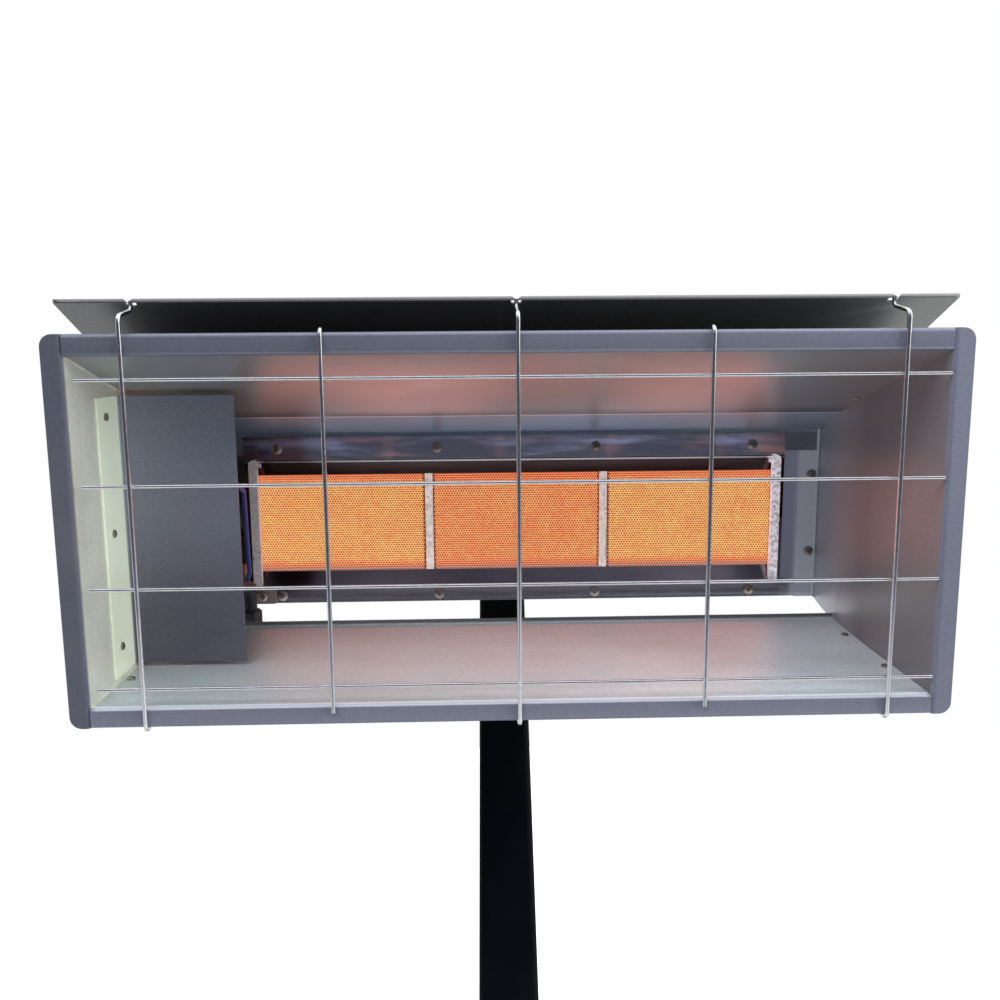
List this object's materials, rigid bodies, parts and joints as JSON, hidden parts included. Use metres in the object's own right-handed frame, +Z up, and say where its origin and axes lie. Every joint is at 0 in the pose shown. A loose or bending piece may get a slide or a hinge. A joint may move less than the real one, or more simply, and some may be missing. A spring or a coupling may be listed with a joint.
{
  "type": "radiant gas workshop heater",
  "caption": "Free-standing radiant gas heater: a folded steel hood with ceramic plaques, wire guard and deflector, tilting on a tapered column with a flat H base.",
  "frame": {"origin": "on the floor, in the middle of the four anchor holes of the base", "axes": "+X to the right seen from the front, -Y towards the front where the heat goes, +Z up from the floor"},
  "size_m": [0.5543, 0.5654, 1.2022],
  "materials": {
    "hood_sheet": "aluminised sheet steel, satin, with a fine rolled grain",
    "mirror_steel": "polished stainless sheet",
    "bar_steel": "heat-dulled stainless bar",
    "guard_wire": "bright plated steel wire",
    "ceramic": "porous fired ceramic, glowing",
    "fibre": "soft mineral fibre, matt white",
    "box_steel": "aluminised sheet steel",
    "brass": "turned brass",
    "zinc_screw": "zinc-plated steel",
    "stand_zinc": "zinc-plated hexagon bolts and nuts",
    "valve_metal": "die-cast, plain",
    "spindle_steel": "turned steel",
    "knob_plastic": "black moulded phenolic",
    "button_plastic": "red moulded plastic",
    "lead_blue": "blue silicone insulation",
    "porcelain": "glazed white insulator",
    "copper": "drawn copper, heat-tinted",
    "pipe_black": "black steel pipe",
    "stand_paint": "black powder coat, slightly bluish sheen",
    "bracket_paint": "black powder coat",
    "disc_fibre": "pressed friction fibre",
    "cap_plastic": "black moulded plastic"
  },
  "bodies": {
    "stand": {"tilt_yoke": "stand_paint", "yoke_bolt": "stand_zinc", "pivot_bolt": "stand_zinc", "friction_discs": "disc_fibre", "column_cap": "stand_paint", "column": "stand_paint", "column_plate": "stand_paint", "column_bolts": "stand_zinc", "cross_beam": "stand_paint", "left_runner": "stand_paint", "right_runner": "stand_paint", "joint_plates": "stand_paint", "joint_bolts": "stand_zinc", "runner_caps": "cap_plastic", "foot_pads": "stand_paint"},
    "head": {"top_panel": "hood_sheet", "bottom_panel": "hood_sheet", "left_end_plate": "hood_sheet", "right_end_plate": "hood_sheet", "deflector": "hood_sheet", "deflector_screws": "zinc_screw", "wire_guard": "guard_wire", "seam_screws": "zinc_screw", "lower_rail": "hood_sheet", "rear_cover": "hood_sheet", "cover_screws": "zinc_screw", "valve_shield": "hood_sheet", "shield_screws": "zinc_screw", "burner_frame": "mirror_steel", "left_end_bar": "bar_steel", "right_end_bar": "bar_steel", "left_plaque": "ceramic", "centre_plaque": "ceramic", "right_plaque": "ceramic", "plaque_packing": "fibre", "mixing_box": "box_steel", "mixer_tube": "box_steel", "burner_screws": "zinc_screw", "probe_screw": "zinc_screw", "injector": "brass", "gas_tube": "copper", "gas_valve": "valve_metal", "valve_nut": "zinc_screw", "igniter_body": "knob_plastic", "ignition_lead": "lead_blue", "ignition_electrode": "porcelain", "thermocouple": "copper", "probe_bracket": "zinc_screw", "inlet_pipe": "pipe_black", "head_bracket": "bracket_paint", "bracket_screws": "zinc_screw"},
    "tilt_clamp": {"clamp_knob": "knob_plastic"},
    "gas_push": {"spindle_collar": "brass"},
    "gas_knob": {"gas_spindle": "spindle_steel", "control_knob": "knob_plastic"},
    "igniter_push": {"igniter_button": "button_plastic"}
  },
  "joints": [
    {"name": "head_tilt", "type": "hinge", "parent": "stand", "child": "head", "pos_m": [0, 0.06, 1.15], "axis": [1, 0, 0], "range_deg": [-20, 10]},
    {"name": "tilt_clamp_turn", "type": "hinge", "parent": "stand", "child": "tilt_clamp", "pos_m": [0, 0.06, 1.15], "axis": [1, 0, 0], "continuous": true},
    {"name": "gas_knob_press", "type": "slide", "parent": "head", "child": "gas_push", "axis": [1, 0, 0], "range_m": [0, 0.004], "stiffness_N_per_m": 1500, "springref_m": -0.004},
    {"name": "gas_knob_turn", "type": "hinge", "parent": "gas_push", "child": "gas_knob", "pos_m": [-0.254, -0.11948, 1.08467], "axis": [-1, 0, 0], "range_deg": [0, 180]},
    {"name": "igniter_press", "type": "slide", "parent": "head", "child": "igniter_push", "axis": [1, 0, 0], "range_m": [0, 0.006], "stiffness_N_per_m": 1200, "springref_m": -0.004}
  ]
}
